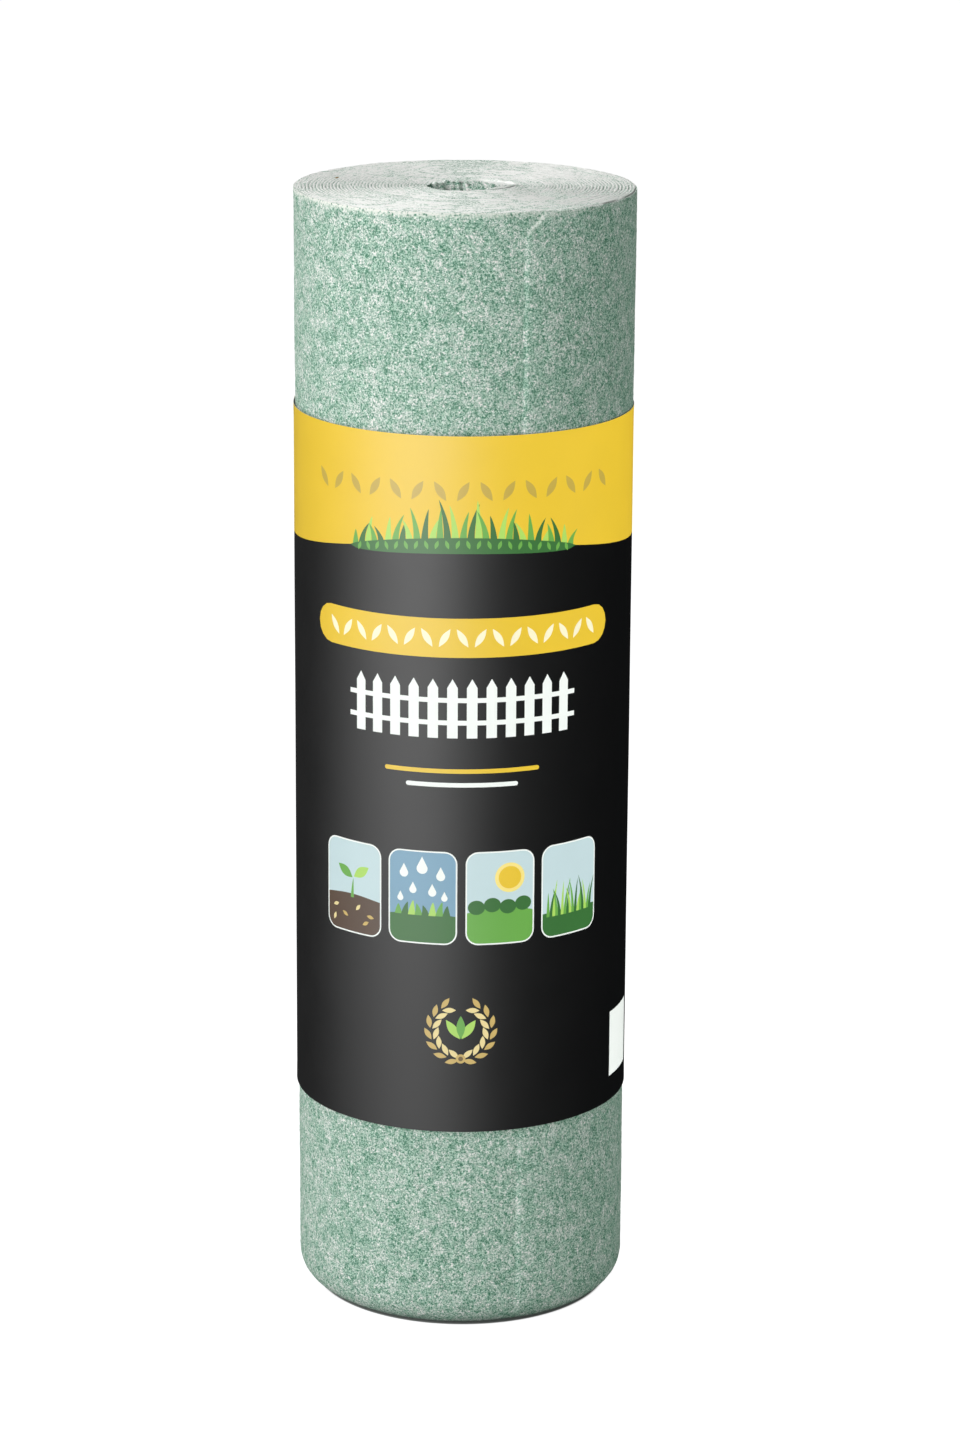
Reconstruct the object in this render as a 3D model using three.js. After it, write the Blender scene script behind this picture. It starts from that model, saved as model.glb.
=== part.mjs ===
// Roll of grass seed mat, wound tight without a core and stood on its end, with a printed label sleeve round its middle.
// Millimetres, +Z up. The origin is the centre of the roll's foot, on the floor it stands on.

import * as THREE from "three";

// Driving dimensions of the wound mat.
const MAT_WIDTH = 610; // the mat is 24 inches wide, and that is the height of the roll on its end
const ROLL_RADIUS = 90;
const BORE_RADIUS = 18; // the roll has no core tube, so the innermost turn is the wall of the bore
const TOP_EDGE_CHAMFER = 1;
const FOOT_ROUNDING = 15; // the outer turns have crept up at the foot, which rounds its edge

// The turns show on both ends as rings. One ring stands for a bundle of about six turns of the thin mat.
const TURN_BUNDLE = 6;
const RING_GROOVE_WIDTH = 1.2;
const RING_GROOVE_DEPTH = 0.9;

// Driving dimensions of the label sleeve, a sheet glued into a tube round the roll.
const LABEL_HEIGHT = 380;
const LABEL_THICKNESS = 0.3;
const LABEL_CLEARANCE = 0.25; // air between the roll and the sleeve

// How finely the round shapes are cut into flat faces.
const TURN_SEGMENTS = 64;
const ROUNDING_STEPS = 5;

// Radii of the groove centres on an end that is flat from the inner radius to the outer one.
function grooveRadii(inner, outer) {
  const rings = Math.max(1, Math.round((outer - inner) / TURN_BUNDLE));
  const spacing = (outer - inner) / rings;
  return Array.from({ length: rings - 1 }, (_, i) => inner + spacing * (i + 1));
}

// Profile points of one end, from the bore outwards. The grooves run into the roll along `inward`.
function endProfile(outer, z, inward) {
  const points = [new THREE.Vector2(BORE_RADIUS, z)];
  for (const radius of grooveRadii(BORE_RADIUS, outer)) {
    points.push(new THREE.Vector2(radius - RING_GROOVE_WIDTH / 2, z));
    points.push(new THREE.Vector2(radius, z + inward * RING_GROOVE_DEPTH));
    points.push(new THREE.Vector2(radius + RING_GROOVE_WIDTH / 2, z));
  }
  points.push(new THREE.Vector2(outer, z));
  return points;
}

// Profile points of the rounded edge of the foot, between the flat foot and the straight side.
function footRounding() {
  const points = [];
  for (let step = 1; step <= ROUNDING_STEPS; step += 1) {
    const angle = ((Math.PI / 2) * step) / ROUNDING_STEPS;
    const radius = ROLL_RADIUS - FOOT_ROUNDING + FOOT_ROUNDING * Math.sin(angle);
    points.push(new THREE.Vector2(radius, FOOT_ROUNDING * (1 - Math.cos(angle))));
  }
  return points;
}

// Turns a closed profile of radius and height about the vertical axis.
function turned(profile) {
  const closed = [...profile, profile[0].clone()];
  return new THREE.LatheGeometry(closed, TURN_SEGMENTS).rotateX(Math.PI / 2);
}

// The wound mat: one turned solid with its bore, and the rings of its turns on both ends.
function seedMatRoll() {
  const foot = endProfile(ROLL_RADIUS - FOOT_ROUNDING, 0, 1);
  const top = endProfile(ROLL_RADIUS - TOP_EDGE_CHAMFER, MAT_WIDTH, -1);
  const shoulder = new THREE.Vector2(ROLL_RADIUS, MAT_WIDTH - TOP_EDGE_CHAMFER);
  const profile = [...foot, ...footRounding(), shoulder, ...top.reverse()];
  const material = new THREE.MeshStandardMaterial({ color: 0x9dbfae, roughness: 0.95, metalness: 0 });
  const mesh = new THREE.Mesh(turned(profile), material);
  mesh.name = "seed_mat_roll";
  return mesh;
}

// The label sleeve: a thin tube that hugs the roll, centred on the mat's width.
function labelSleeve() {
  const inner = ROLL_RADIUS + LABEL_CLEARANCE;
  const outer = inner + LABEL_THICKNESS;
  const profile = [
    new THREE.Vector2(inner, 0),
    new THREE.Vector2(outer, 0),
    new THREE.Vector2(outer, LABEL_HEIGHT),
    new THREE.Vector2(inner, LABEL_HEIGHT),
  ];
  const material = new THREE.MeshStandardMaterial({ color: 0x1d1d1f, roughness: 0.45, metalness: 0 });
  const mesh = new THREE.Mesh(turned(profile), material);
  mesh.name = "label_sleeve";
  mesh.position.z = (MAT_WIDTH - LABEL_HEIGHT) / 2;
  return mesh;
}

const roll = new THREE.Group();
roll.add(seedMatRoll(), labelSleeve());

export default roll;
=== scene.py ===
# A roll of grass seed mat on its end: felt with wound ends, a printed label sleeve, a studio and a camera.
import math
import random

import bmesh
import bpy
from mathutils import Matrix, Vector, geometry, noise


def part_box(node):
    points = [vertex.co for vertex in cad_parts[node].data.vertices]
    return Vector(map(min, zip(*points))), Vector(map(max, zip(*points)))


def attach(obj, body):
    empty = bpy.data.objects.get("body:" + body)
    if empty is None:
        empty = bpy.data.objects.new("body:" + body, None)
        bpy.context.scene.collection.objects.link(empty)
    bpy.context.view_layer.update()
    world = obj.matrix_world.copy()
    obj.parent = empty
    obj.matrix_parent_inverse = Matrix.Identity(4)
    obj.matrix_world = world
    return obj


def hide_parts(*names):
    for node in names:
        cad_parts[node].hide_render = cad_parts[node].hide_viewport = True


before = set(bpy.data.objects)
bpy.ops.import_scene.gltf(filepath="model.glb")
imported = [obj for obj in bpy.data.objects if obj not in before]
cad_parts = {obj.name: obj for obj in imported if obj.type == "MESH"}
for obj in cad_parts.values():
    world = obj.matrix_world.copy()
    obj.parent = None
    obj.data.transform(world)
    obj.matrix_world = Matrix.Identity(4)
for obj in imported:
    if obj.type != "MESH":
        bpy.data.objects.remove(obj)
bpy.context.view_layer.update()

# Lengths below are millimetres, angles are degrees, and heights are measured from the floor.
# An azimuth is seen from above: 0 is the front, which faces -Y, and 90 is the right side, which faces +X.
MM = 0.001

roll_low, roll_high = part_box("seed_mat_roll")
label_low, label_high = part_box("label_sleeve")
ROLL_HEIGHT = (roll_high[2] - roll_low[2]) / MM
ROLL_RADIUS = (roll_high[0] - roll_low[0]) / 2 / MM
LABEL_RADIUS = (label_high[0] - label_low[0]) / 2 / MM
LABEL_FOOT = label_low[2] / MM
LABEL_TOP = label_high[2] / MM

# The wound mat.
BORE_RADIUS = 18.0
TURN_PITCH = 0.9
FLARE = 0.8  # the top end is looser than the rest, so it is this much wider
FLARE_POWER = 3.2
SLACK = 0.2  # how far the outer turn lies inside the nominal radius
FOOT_ROUNDING = 15.0
PRESSED = 0.97  # share of the mat's thickness that its outer end is pressed in by
PRESSED_REACH = 7.0  # how far round from its end that is felt
PRESSED_TOP = (18.0, 8.0)  # it stops between these depths below the top
SEAM_AZIMUTH = 20.7  # the outer end of the mat
TORN_CORNER_AZIMUTH = 27.7  # its top corner is torn off on the slant
TORN_CORNER_DEPTH = 12.0
COLUMNS = 320
# The mat's face goes once round, and then steps back to where it starts.
FACE_TURNS = [column / COLUMNS for column in range(COLUMNS + 1)] + [0.0]
FELT_ROW = 1.5
HIDDEN_ROW = 22.0
LABEL_COVER = 3.0  # how far in from its edges the label hides fine rows
RIM_INSET = 0.35
RIM_DROP = 0.4
SLIP = 0.6  # how far the loose outer end has slipped below the turns inside it
GROOVE_PLACE = 0.76  # where the gap's bottom lies, as a share of a turn
BORE_CENTRE = (-2.0, 1.7)
BORE_REACH = 16.0  # how far out the squeezed shape of the bore is felt
PLEAT_REACH = 4.0
FOLD_AZIMUTH = 93.5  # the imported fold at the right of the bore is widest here
FOLD_SPREAD = 62.0  # and runs out this far to either side
FOLD_WIDTH = 11.5
FOLD_LAYERS = 12
FOLD_COLUMNS = 120
CREST_HEIGHT = 0.5
MOUTH_FLARE = 1.6
MOUTH_RUFFLE = 1.3
MOUTH_DEPTH = 5.0
TOP_SEED = 20
FOOT_SEED = 40
FOLD_SEED = 60
SEEDS = ((-67.8, 23.6, 2.6, 0.5),)  # place on the top end, length and direction
FIBRES = 5000
FIBRE_SEED = 7

# The label sleeve.
LABEL_PAPER = 0.16
LABEL_SLACK = 0.06
LABEL_WAVE = 0.09
LABEL_EDGE_LIFT = 0.12
LABEL_LAP_LIFT = 0.34
LABEL_LAP_AZIMUTH = -104.0
LABEL_LAP = 14.0
LABEL_COLUMN = 2.5
LABEL_ROW = 9.0


def smooth(low, high, value):
    """0 at low, 1 at high, with a soft start and end."""
    t = min(1.0, max(0.0, (value - low) / (high - low)))
    return t * t * (3 - 2 * t)


def wave(x, y=0.0, z=0.0, seed=0.0):
    """Smooth noise from about -1 to 1 that changes over one unit."""
    return noise.noise(Vector((x + 31.7 * seed, y + 11.3 * seed, z + 5.9 * seed)))


def polar(azimuth, radius, height):
    """A point in metres from an azimuth in degrees, and a radius and height in millimetres."""
    turn = math.radians(azimuth)
    return (radius * math.sin(turn) * MM, -radius * math.cos(turn) * MM, height * MM)


# Studio.

CAMERA_DISTANCE = 2358.2
CAMERA_HEIGHT = 980.9
CAMERA_YAW = 0.234
CAMERA_PITCH = 15.685
CAMERA_ROLL = 0.342
FOCAL_PIXELS = 4516.2
PHOTO_HEIGHT = 1440
SENSOR = 36.0
FLOOR_REACH = 9.0  # metres
FLOOR_DROP = 0.2  # keeps the floor clear of the roll's foot
CONTACT_SHIFT = 0.7  # the shade under the foot shows a little more at the right
FLOOR_GREY = (0.35, 0.35, 0.35, 1.0)
FLOOR_LIGHT = (0.84, 1.0, 0.91, 1.0)
WORLD_LIGHT = (0.95, 0.98, 1.0, 1.0)
WHITE = (1.0, 1.0, 1.0, 1.0)


def add_camera():
    yaw, pitch, roll = (math.radians(a) for a in (CAMERA_YAW, CAMERA_PITCH, CAMERA_ROLL))
    forward = Vector((math.sin(yaw) * math.cos(pitch), math.cos(yaw) * math.cos(pitch), -math.sin(pitch)))
    right = forward.cross(Vector((0, 0, 1))).normalized()
    up = right.cross(forward)
    tilted_right = right * math.cos(roll) + up * math.sin(roll)
    tilted_up = up * math.cos(roll) - right * math.sin(roll)
    data = bpy.data.cameras.new("camera")
    data.sensor_width = SENSOR
    data.lens = FOCAL_PIXELS / PHOTO_HEIGHT * SENSOR
    data.clip_end = 50
    camera = bpy.data.objects.new("camera", data)
    turn = Matrix((tilted_right, tilted_up, -forward)).transposed().to_4x4()
    place = Vector((0, -CAMERA_DISTANCE * MM, CAMERA_HEIGHT * MM))
    camera.matrix_world = Matrix.Translation(place) @ turn
    bpy.context.scene.collection.objects.link(camera)
    bpy.context.scene.camera = camera


def add_softbox(name, azimuth, elevation, distance, width, height, power, aim=0.3):
    """A soft rectangular light that points at the roll's axis, at the height of aim, all in metres."""
    data = bpy.data.lights.new(name, "AREA")
    data.shape = "RECTANGLE"
    data.size = width
    data.size_y = height
    data.energy = power
    light = bpy.data.objects.new(name, data)
    target = Vector((0, 0, aim))
    turn, lift = math.radians(azimuth), math.radians(elevation)
    way = Vector((math.sin(turn) * math.cos(lift), -math.cos(turn) * math.cos(lift), math.sin(lift)))
    light.location = target + way * distance
    light.rotation_euler = way.to_track_quat("Z", "Y").to_euler()
    light.visible_camera = False
    bpy.context.scene.collection.objects.link(light)
    return light


def add_lights():
    add_softbox("key_softbox", -42, 32, 1.8, 1.2, 1.4, 24, aim=0.42)
    add_softbox("side_softbox", -74, 0, 1.1, 0.5, 0.25, 1.0, aim=0.05)
    add_softbox("top_softbox", 0, 84, 2.6, 1.8, 1.8, 38, aim=0.6)
    sheen = add_softbox("sheen_softbox", -30, 3, 4.5, 5.0, 1.0, 285)
    sheen.visible_diffuse = False


def add_world():
    """A white backdrop that lights the roll only faintly."""
    world = bpy.data.worlds.new("studio")
    bpy.context.scene.world = world
    world.use_nodes = True
    nodes, links = world.node_tree.nodes, world.node_tree.links
    nodes.clear()
    mix = nodes.new("ShaderNodeMixShader")
    links.new(nodes.new("ShaderNodeLightPath").outputs["Is Camera Ray"], mix.inputs[0])
    for place, colour, strength in ((1, WORLD_LIGHT, 0.015), (2, WHITE, 1.0)):
        background = nodes.new("ShaderNodeBackground")
        background.inputs["Color"].default_value = colour
        background.inputs["Strength"].default_value = strength
        links.new(background.outputs[0], mix.inputs[place])
    links.new(mix.outputs[0], nodes.new("ShaderNodeOutputWorld").inputs["Surface"])
    bpy.context.scene.view_settings.view_transform = "Standard"
    bpy.context.scene.view_settings.look = "None"


def light_label_evenly(label):
    """A fill from the right that falls on the label alone, which the photo shows equally bright all over."""
    fill = add_softbox("label_softbox", 74, 8, 2.0, 1.0, 1.2, 27)
    fill.visible_glossy = False
    lit = bpy.data.collections.new("lit_by_label_softbox")
    lit.objects.link(label)
    fill.light_linking.receiver_collection = lit


def add_floor():
    """White paper that looks evenly bright, throws soft cool light up at the roll and less from under it, and
    has a painted shadow in a thin ring round its foot.
    """
    mesh = bpy.data.meshes.new("floor")
    corners = [(x * FLOOR_REACH, y * FLOOR_REACH, 0) for x, y in ((-1, -1), (1, -1), (1, 1), (-1, 1))]
    mesh.from_pydata(corners, [], [(0, 1, 2, 3)])
    floor = bpy.data.objects.new("floor", mesh)
    bpy.context.scene.collection.objects.link(floor)
    floor.location = (CONTACT_SHIFT * MM, 0, roll_low[2] - FLOOR_DROP * MM)
    n = Nodes("floor_paper")
    n.dress({"Base Color": FLOOR_GREY, "Roughness": 0.9, "Specular IOR Level": 0.1})
    from_axis = n.add("ShaderNodeVectorMath", {0: n.place}, operation="LENGTH").outputs["Value"]
    # A painted contact shadow: a thin dark ring just outside the foot.
    seen = n.between(from_axis, 0.08, 0.0818, 0.03, 1.0)
    thrown = n.between(from_axis, 0.084, 0.12, 0.05, 0.76)
    by_camera = n.add("ShaderNodeLightPath").outputs["Is Camera Ray"]
    n.dress({"Emission Color": n.mix(by_camera, FLOOR_LIGHT, WHITE)})
    seen_share = n.math("MULTIPLY", by_camera, seen)
    thrown_share = n.math("MULTIPLY", n.math("SUBTRACT", 1.0, by_camera), thrown)
    n.dress({"Emission Strength": n.math("ADD", seen_share, thrown_share)})
    mesh.materials.append(n.material)
    floor.visible_glossy = False


# Materials.


class Nodes:
    """Short words for building one material's node tree."""

    def __init__(self, name):
        self.material = bpy.data.materials.new(name)
        self.material.use_nodes = True
        self.tree = self.material.node_tree
        self.shader = self.tree.nodes["Principled BSDF"]
        self.place = self.add("ShaderNodeTexCoord").outputs["Object"]

    def add(self, kind, inputs=(), **settings):
        """A new node with its settings, and with what goes in its sockets, by name or number."""
        node = self.tree.nodes.new(kind)
        for key, value in settings.items():
            setattr(node, key, value)
        for key, value in dict(inputs).items():
            self.feed(node.inputs[key], value)
        return node

    def feed(self, socket, value):
        """Puts a number, a colour or another node's output in a socket."""
        if isinstance(value, bpy.types.NodeSocket):
            self.tree.links.new(value, socket)
        else:
            socket.default_value = value

    def dress(self, values):
        """Puts numbers, colours or other nodes' outputs in the shader's sockets, by name."""
        for name, value in values.items():
            self.feed(self.shader.inputs[name], value)

    def noise(self, grain, detail=2.0, roughness=0.5, distortion=0.0, place=None):
        """Noise whose features are about grain millimetres across."""
        inputs = {"Vector": place or self.place, "Scale": 1 / (grain * MM)}
        inputs.update({"Detail": detail, "Roughness": roughness, "Distortion": distortion})
        return self.add("ShaderNodeTexNoise", inputs).outputs["Fac"]

    def cells(self, grain, place):
        """Distance from the middles of cells about grain millimetres across."""
        inputs = {"Vector": place, "Scale": 1 / (grain * MM)}
        return self.add("ShaderNodeTexVoronoi", inputs).outputs["Distance"]

    def stretched(self, x, y, z):
        """The object's coordinates, scaled by each factor."""
        return self.add("ShaderNodeMapping", {"Vector": self.place, "Scale": (x, y, z)}).outputs["Vector"]

    def pushed(self, grain, reach):
        """The object's coordinates, pushed about by up to reach millimetres."""
        push = self.add("ShaderNodeTexNoise", {"Vector": self.place, "Scale": 1 / (grain * MM)})
        inputs = {0: push.outputs["Color"], 1: (reach * MM, reach * MM, reach * MM), 2: self.place}
        return self.add("ShaderNodeVectorMath", inputs, operation="MULTIPLY_ADD").outputs["Vector"]

    def math(self, operation, a, b=0.0, clamp=False):
        return self.add("ShaderNodeMath", {0: a, 1: b}, operation=operation, use_clamp=clamp).outputs[0]

    def between(self, value, low, high, to_low=0.0, to_high=1.0):
        """to_low up to low and to_high from high on, with a soft change between them."""
        inputs = {"Value": value, "From Min": low, "From Max": high, "To Min": to_low, "To Max": to_high}
        return self.add("ShaderNodeMapRange", inputs, interpolation_type="SMOOTHSTEP").outputs["Result"]

    def sum(self, middle, *parts):
        """middle, plus each noise's distance from its own middle times its weight."""
        for weight, value in parts:
            swing = self.math("MULTIPLY", self.math("SUBTRACT", value, 0.5), weight)
            middle = self.math("ADD", swing, middle)
        return middle

    def ramp(self, value, stops):
        node = self.add("ShaderNodeValToRGB", {"Fac": value})
        elements = node.color_ramp.elements
        while len(elements) < len(stops):
            elements.new(0.5)
        for element, (place, colour) in zip(elements, stops):
            element.position = place
            element.color = linear(colour)
        return node.outputs["Color"]

    def mix(self, amount, a, b, blend="MIX"):
        inputs = {0: amount, 6: a, 7: b}
        return self.add("ShaderNodeMix", inputs, data_type="RGBA", blend_type=blend).outputs[2]

    def bump(self, height, distance, strength, normal=None):
        inputs = {"Height": height, "Distance": distance * MM, "Strength": strength}
        if normal is not None:
            inputs["Normal"] = normal
        return self.add("ShaderNodeBump", inputs).outputs["Normal"]

    def attribute(self, name):
        return self.add("ShaderNodeAttribute", attribute_name=name).outputs["Fac"]


def linear(colour):
    """A Blender colour from red, green and blue as they look on a screen, from 0 to 255."""
    parts = [c / 255 for c in colour]
    return (*[p / 12.92 if p <= 0.04045 else ((p + 0.055) / 1.055) ** 2.4 for p in parts], 1.0)


FELT_DARK = (72, 124, 101)
FELT_GREEN = (126, 157, 142)
FELT_MID = (165, 190, 176)
FELT_PALE = (198, 217, 206)
FELT_WHITE = (238, 240, 236)
FELT_DYED_TINT = (0.925, 1.0, 0.96, 1.0)
FELT_BARE_TINT = (1.085, 1.0, 1.035, 1.0)
FELT_SPECK = (242, 240, 236)
# A pale band along the top rim, mostly a painted highlight.
FELT_RIM_BAND_AND_HIGHLIGHT = (236, 235, 229)
EDGE_SHADES = ((0.05, (130, 162, 146)), (0.45, (218, 230, 220)), (0.85, (250, 254, 250)))
EDGE_DYED = (150, 175, 161)
EDGE_WHITE = (250, 250, 247)
# Painted shade down in the gaps between turns.
EDGE_GROOVE_SHADE = (70, 80, 73)
MATT = {"Roughness": 0.95, "Specular IOR Level": 0.15, "Sheen Weight": 0.04}


def felt_fibres(n):
    """Three layers of short strokes in different directions, as of fibres pressed flat."""
    strokes = None
    for stretch in ((1.0, 1.0, 0.3), (0.4, 1.0, 1.0), (1.0, 0.45, 0.6)):
        stroke = n.noise(0.6, 1.0, 0.5, 0.6, place=n.stretched(*stretch))
        strokes = stroke if strokes is None else n.math("MAXIMUM", strokes, stroke)
    return strokes


def felt_material(name):
    """Pressed cellulose felt: pale fibres with green dye in clouds and clumps.
    Its points hold painted light and shade, and a pale band along the top rim that is mostly a painted
    highlight."""
    n = Nodes(name)
    cloud = n.noise(8.0, 2.0, 0.5)
    mottle = n.noise(3.2, 1.5, 0.5, 0.4)
    grain = n.noise(1.3, 1.0, 0.5, 0.3)
    fine = n.noise(0.72, 1.0, 0.6, 0.3)
    fibres = felt_fibres(n)
    # The points' painted light and shade shift the felt's tone.
    value = n.sum(n.attribute("painted_light_and_shade"), (0.5, cloud), (0.5, mottle), (1.1, grain), (2.1, fine))
    value = n.math("ADD", value, 0.5)
    stops = [(0.06, FELT_DARK), (0.26, FELT_GREEN), (0.5, FELT_MID), (0.74, FELT_PALE), (0.96, FELT_WHITE)]
    colour = n.ramp(value, stops)
    patches = n.between(n.noise(4.4, 1.5, 0.5, 0.5), 0.62, 0.77)
    knots = n.between(n.cells(13.0, n.pushed(2.5, 5.0)), 0.1, 0.19, 0.85, 0.0)
    clumps = n.math("MULTIPLY", n.math("MAXIMUM", patches, knots), n.between(fine, 0.3, 0.6, 1.0, 0.4))
    colour = n.mix(clumps, colour, linear(FELT_DARK))
    dye = n.between(n.sum(0.5, (1.1, mottle), (1.0, cloud), (0.8, grain)), 0.25, 0.75)
    colour = n.mix(1.0, colour, n.mix(dye, FELT_DYED_TINT, FELT_BARE_TINT), "MULTIPLY")
    specks = n.between(fibres, 0.72, 0.84, 0.0, 0.8)
    colour = n.mix(specks, colour, linear(FELT_SPECK))
    # A pale band along the top rim: faint all round, and a painted highlight at the front left and beside the
    # tear.
    rim_band_and_highlight = n.math("MULTIPLY", n.attribute("rim_band_and_highlight"), n.between(grain, 0.3, 0.5))
    colour = n.mix(rim_band_and_highlight, colour, linear(FELT_RIM_BAND_AND_HIGHLIGHT))
    relief = n.sum(0.0, (0.7, mottle), (0.7, grain), (0.6, fine), (0.8, fibres))
    n.dress({**MATT, "Sheen Roughness": 0.45, "Base Color": colour, "Normal": n.bump(relief, 0.4, 0.9)})
    return n.material


def cut_edge_material():
    """The mat's cut edges on the ends: paler than its faces, with painted shade down between the turns."""
    n = Nodes("seed_mat_cut_edges")
    grain = n.noise(1.3, 2.0, 0.6, 0.6)
    fine = n.noise(0.7, 1.0, 0.5, 0.5)
    cloud = n.noise(9.0, 2.0, 0.5)
    value = n.sum(0.48, (1.6, grain), (2.8, fine), (0.1, cloud))
    colour = n.ramp(value, EDGE_SHADES)
    # Each turn's tone of green or white, plus painted light that makes an end paler at its left and right.
    tone = n.attribute("turn_tone")
    colour = n.mix(n.between(tone, 0.0, 0.5, 0.75, 0.0), colour, linear(EDGE_DYED))
    colour = n.mix(n.between(tone, 0.5, 1.0, 0.0, 0.9), colour, linear(EDGE_WHITE))
    # Painted shade that the points hold: down between the turns, and a dark line where the loose outer end
    # stands off.
    depth = n.math("MULTIPLY", n.attribute("groove_shade"), 0.9, clamp=True)
    relief = n.bump(n.sum(0.0, (1.0, grain), (1.0, fine)), 0.3, 0.8)
    n.dress({**MATT, "Base Color": n.mix(depth, colour, linear(EDGE_GROOVE_SHADE)), "Normal": relief})
    return n.material


def print_material(name, colour, roughness=0.53):
    """Ink on satin coated paper: a faint grain in the ink, and slow waves in the paper."""
    n = Nodes(name)
    grain = n.noise(0.35, 2.0, 0.6)
    patch = n.noise(26.0, 2.0, 0.5)
    shade = n.sum(1.0, (0.08, grain), (0.08, patch))
    tint = n.add("ShaderNodeCombineColor", {0: shade, 1: shade, 2: shade}).outputs[0]
    uneven = n.sum(roughness, (0.08, grain), (0.08, patch))
    n.dress({"Base Color": n.mix(1.0, linear(colour), tint, "MULTIPLY"), "Roughness": uneven})
    slow = n.bump(n.noise(30.0, 1.0, 0.4, place=n.stretched(1.0, 1.0, 0.35)), 0.5, 0.35)
    n.dress({"Specular IOR Level": 0.65, "Normal": n.bump(grain, 0.02, 0.4, slow)})
    return n.material


# The wound mat.


def turn_radius(whole, height):
    """Radius of the mat's outer face, a number of whole turns in from its outer end."""
    base = ROLL_RADIUS - SLACK + FLARE * (height / ROLL_HEIGHT) ** FLARE_POWER
    low, high = (ROLL_HEIGHT - depth for depth in PRESSED_TOP)
    pressed = PRESSED * (1 - smooth(low, high, height))
    thinned = TURN_PITCH * pressed * math.exp(-whole * 2 * math.pi * base / PRESSED_REACH)
    return base - TURN_PITCH * whole - thinned


def seam_azimuth(height):
    """Azimuth of the mat's outer end, which slants where its top corner is torn off."""
    slant = max(0.0, 1 - (ROLL_HEIGHT - height) / TORN_CORNER_DEPTH)
    ragged = 0.25 * wave(height / 2.2, seed=3) + 0.3 * wave(height / 40, seed=4)
    return SEAM_AZIMUTH + (TORN_CORNER_AZIMUTH - SEAM_AZIMUTH) * slant + ragged


def mat_length(whole):
    """Length of mat from its outer end, in millimetres."""
    return whole * 2 * math.pi * max(BORE_RADIUS, ROLL_RADIUS - TURN_PITCH * whole / 2)


def along(whole, reach, drift, seed):
    """Noise that changes over reach millimetres of mat, and by drift from each turn to the next."""
    return wave(mat_length(whole) / reach, whole * drift, seed=seed)


def outer_slip(whole):
    """How far the loose outer end of the mat has slipped below the turns inside it."""
    return SLIP * (1 - smooth(0.08, 0.3, whole))


def alternation(whole):
    """1 on every other turn and -1 on those between, which change over at the back of the roll."""
    return max(-1.0, min(1.0, 6 * math.cos(math.pi * (whole + 0.08))))


def ring_contrast(whole, seed):
    """1 where a turn stands out from the two beside it, and -1 where they stand out from it."""
    radius = ROLL_RADIUS - TURN_PITCH * whole
    x, y = radius * math.cos(2 * math.pi * whole), radius * math.sin(2 * math.pi * whole)
    side = max(-1.0, min(1.0, 9 * wave(x / 27, y / 27, seed=seed)))
    return alternation(whole) * side * (0.8 + 0.5 * wave(x / 30, y / 30, seed=seed + 12))


def proud_stretch(whole, seed):
    """1 where a stretch of a turn has crept out of the end, which shows as a white crest."""
    return smooth(0.34, 0.5, along(whole, 40, 1.3, seed + 11))


def turn_height(whole, seed):
    """How far the cut edge of a turn stands proud of the end."""
    ripple = 0.18 * along(whole, 3.4, 2.3, seed + 1)
    return ripple + 0.13 * ring_contrast(whole, seed) + 0.2 * proud_stretch(whole, seed)


def turn_tilt(whole, seed):
    """How much lower the inner side of a turn's cut edge is than its outer side."""
    return 0.16 * along(whole, 5, 2.1, seed + 10)


def turn_tone(whole, seed):
    """0 for a green and 1 for a white cut edge."""
    tone = 0.5 + 0.4 * ring_contrast(whole, seed) + 0.5 * proud_stretch(whole, seed)
    return tone + 0.5 * along(whole, 3.5, 2.7, seed + 8)


def painted_side_light(azimuth, radius):
    """Painted light: how much paler the left and right of an end are painted than its front and back."""
    return 0.18 * smooth(15, 40, radius) * math.sin(math.radians(azimuth)) ** 2


def groove_opening(whole, seed):
    """0 where a turn lies tight on the next one inwards, and 1 where there is a gap."""
    broken = smooth(-0.5, 0.0, along(whole, 20, 0.8, seed + 5))
    return broken * smooth(0.1, 0.6, -ring_contrast(whole, seed))


def outer_gap(whole, seed):
    """How far the loose outer end of the mat stands off the turn inside it, from 0 to 1, with breaks."""
    if whole < 0:
        return 0.0
    return (1 - smooth(0.2, 0.34, whole)) * smooth(-0.4, 0.1, along(whole, 12, 0.0, seed + 6))


def groove_height(whole, seed):
    """Height of the bottom of the gap between a turn and the next one inwards."""
    middle = 0.5 * (turn_height(whole, seed) + turn_height(whole + 1, seed))
    return middle - 0.2 - 1.6 * groove_opening(whole, seed) - outer_gap(whole, seed)


def azimuth_gap(azimuth, middle):
    """Degrees from middle to azimuth the short way round, without its sign."""
    return abs((azimuth - middle + 180) % 360 - 180)


def squeeze(azimuth):
    """How far the bore stands off a round one: wide in front, and pressed in at the back."""
    a = math.radians(azimuth)
    return -1.0 + 2.4 * math.cos(a) - 1.1 * math.cos(2 * a)


def fold_width(azimuth):
    """Width of the folded inner end of the mat, which is packed into a point at the right of the bore."""
    share = max(0.0, 1 - azimuth_gap(azimuth, FOLD_AZIMUTH) / FOLD_SPREAD)
    return FOLD_WIDTH * (share**0.55 if azimuth > FOLD_AZIMUTH else share)


def pleats(azimuth, depth):
    """Pleats of the innermost turns, strongest at the back of the bore."""
    a = math.radians(azimuth)
    c, s = math.cos(a), math.sin(a)
    back = 0.25 + 0.75 * smooth(0.4, -0.6, c) if c < 0.4 else 0.25
    folds = 1.5 * wave(3.2 * c, 3.2 * s, depth / 55, seed=8) + 1.3 * wave(6 * c, 6 * s, depth / 30, seed=9)
    return back * (folds + 0.7 * wave(9 * c, 9 * s, depth / 9, seed=10) * smooth(0, 6, depth))


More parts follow.
